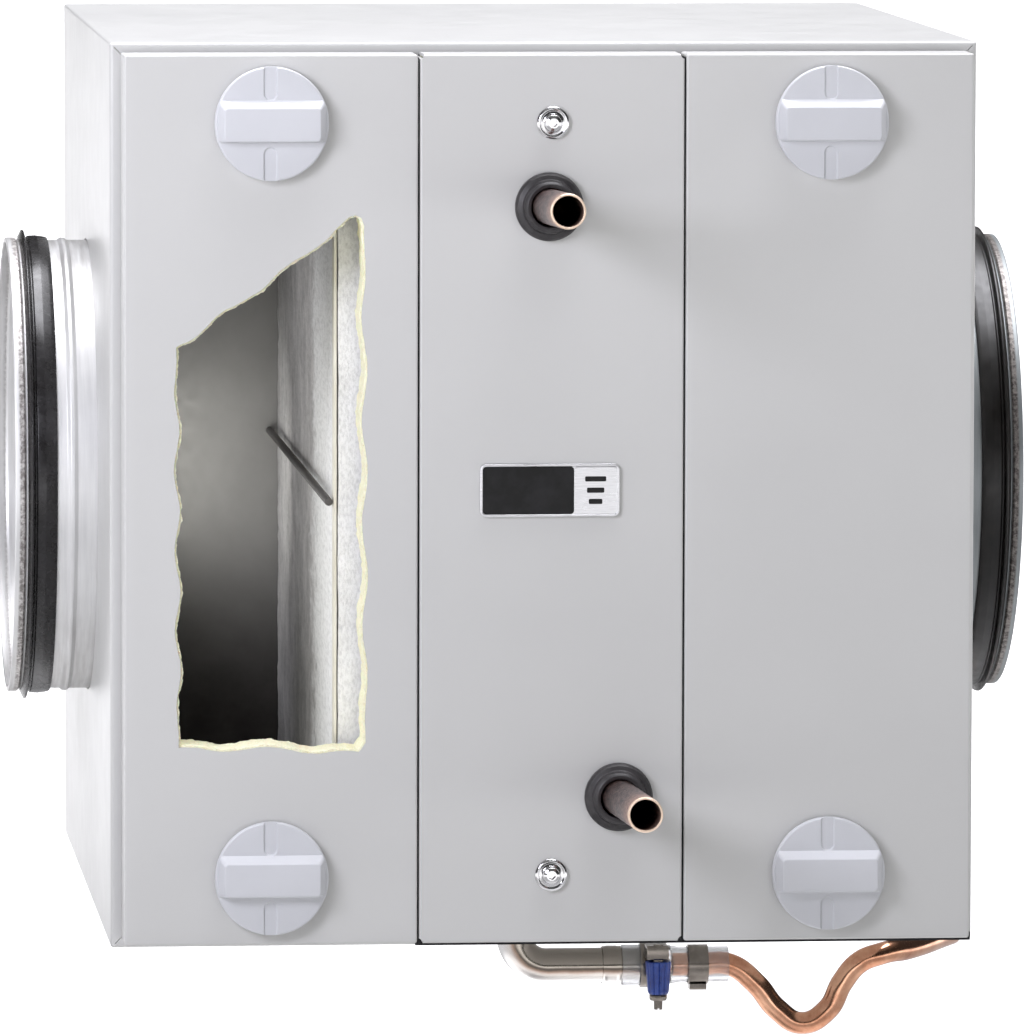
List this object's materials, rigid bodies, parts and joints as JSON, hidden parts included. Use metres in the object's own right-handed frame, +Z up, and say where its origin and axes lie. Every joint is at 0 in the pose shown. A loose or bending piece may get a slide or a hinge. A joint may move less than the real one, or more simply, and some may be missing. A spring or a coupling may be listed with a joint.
{
  "type": "duct-mounted air heating and cooling box",
  "caption": "Wall-hung duct box that heats or cools air through a finned liquid coil, with latched doors, a filter and a condensate trap.",
  "frame": {"origin": "middle of the back face, which lies against the wall", "axes": "+Z up, -Y out of the front with the doors, air flows along +X from the left spigot to the right one"},
  "size_m": [0.4416, 0.5242, 0.4552],
  "materials": {
    "powder_coat": "light grey fine-texture powder coat",
    "foam": "pale yellow closed-cell foam",
    "inner_sheet": "dark grey coated inner sheet, satin",
    "galvanised": "galvanised sheet with faint spangle",
    "gasket": "black foam rubber",
    "rubber": "black EPDM rubber, satin",
    "grey_plastic": "light grey moulded plastic",
    "bright_steel": "bright plated steel",
    "copper": "drawn copper, slightly brown",
    "fins": "thin aluminium fins",
    "fleece": "white filter fleece",
    "filter_frame": "cream thin sheet",
    "dark_rod": "dark coated wire",
    "badge": "black and silver plate with no text",
    "clear_hose": "clear soft plastic",
    "blue_plastic": "blue moulded plastic"
  },
  "bodies": {
    "casing_body": {"back_panel": "powder_coat", "badge": "badge", "casing": "powder_coat", "clamp_band_left": "bright_steel", "clamp_band_right": "bright_steel", "clear_hose": "clear_hose", "coil_frame": "galvanised", "coil_tubes": "copper", "condensate_tray": "galvanised", "drain_elbow": "bright_steel", "drain_nozzle": "galvanised", "elbow_ferrule": "bright_steel", "filter_fleece": "fleece", "filter_frame": "filter_frame", "filter_guide_bottom": "galvanised", "filter_guide_top": "galvanised", "filter_stiffener": "dark_rod", "fin_block": "fins", "grommet_lower": "rubber", "grommet_upper": "rubber", "inner_shell": "inner_sheet", "insulation_liner": "foam", "keeper_left_bottom": "galvanised", "keeper_left_top": "galvanised", "keeper_right_bottom": "galvanised", "keeper_right_top": "galvanised", "lip_seal_left": "rubber", "lip_seal_right": "rubber", "middle_panel_gasket": "gasket", "middle_panel_inner_skin": "galvanised", "middle_panel_insulation": "foam", "middle_panel_skin": "powder_coat", "mullion_left": "galvanised", "mullion_right": "galvanised", "panel_screw_bottom": "bright_steel", "panel_screw_top": "bright_steel", "pipe_lower": "copper", "pipe_upper": "copper", "siphon_tube": "copper", "spigot_left": "galvanised", "spigot_right": "galvanised"},
    "left_door": {"left_door_gasket": "gasket", "left_door_inner_skin": "galvanised", "left_door_insulation": "foam", "left_door_skin": "powder_coat"},
    "right_door": {"right_door_gasket": "gasket", "right_door_inner_skin": "galvanised", "right_door_insulation": "foam", "right_door_skin": "powder_coat"},
    "clamp_key": {"clamp_thumb_knob": "blue_plastic", "clamp_worm_screw": "bright_steel"},
    "latch_left_top": {"knob_left_top": "grey_plastic", "latch_stud_left_top": "bright_steel"},
    "latch_left_bottom": {"knob_left_bottom": "grey_plastic", "latch_stud_left_bottom": "bright_steel"},
    "latch_right_top": {"knob_right_top": "grey_plastic", "latch_stud_right_top": "bright_steel"},
    "latch_right_bottom": {"knob_right_bottom": "grey_plastic", "latch_stud_right_bottom": "bright_steel"}
  },
  "joints": [
    {"name": "left_door_lift_off", "type": "slide", "parent": "casing_body", "child": "left_door", "axis": [0, -1, 0], "range_m": [0, 0.12]},
    {"name": "right_door_lift_off", "type": "slide", "parent": "casing_body", "child": "right_door", "axis": [0, -1, 0], "range_m": [0, 0.12]},
    {"name": "latch_turn_left_top", "type": "hinge", "parent": "left_door", "child": "latch_left_top", "pos_m": [-0.1182, -0.426, 0.16], "axis": [0, -1, 0], "range_deg": [0, 90]},
    {"name": "latch_turn_left_bottom", "type": "hinge", "parent": "left_door", "child": "latch_left_bottom", "pos_m": [-0.1182, -0.426, -0.16], "axis": [0, -1, 0], "range_deg": [0, 90]},
    {"name": "latch_turn_right_top", "type": "hinge", "parent": "right_door", "child": "latch_right_top", "pos_m": [0.1194, -0.426, 0.16], "axis": [0, -1, 0], "range_deg": [0, 90]},
    {"name": "latch_turn_right_bottom", "type": "hinge", "parent": "right_door", "child": "latch_right_bottom", "pos_m": [0.1194, -0.426, -0.16], "axis": [0, -1, 0], "range_deg": [0, 90]},
    {"name": "clamp_key_turn", "type": "hinge", "parent": "casing_body", "child": "clamp_key", "pos_m": [0.0695, -0.2167, -0.234], "axis": [0, 0, 1], "range_deg": [0, 360]}
  ]
}
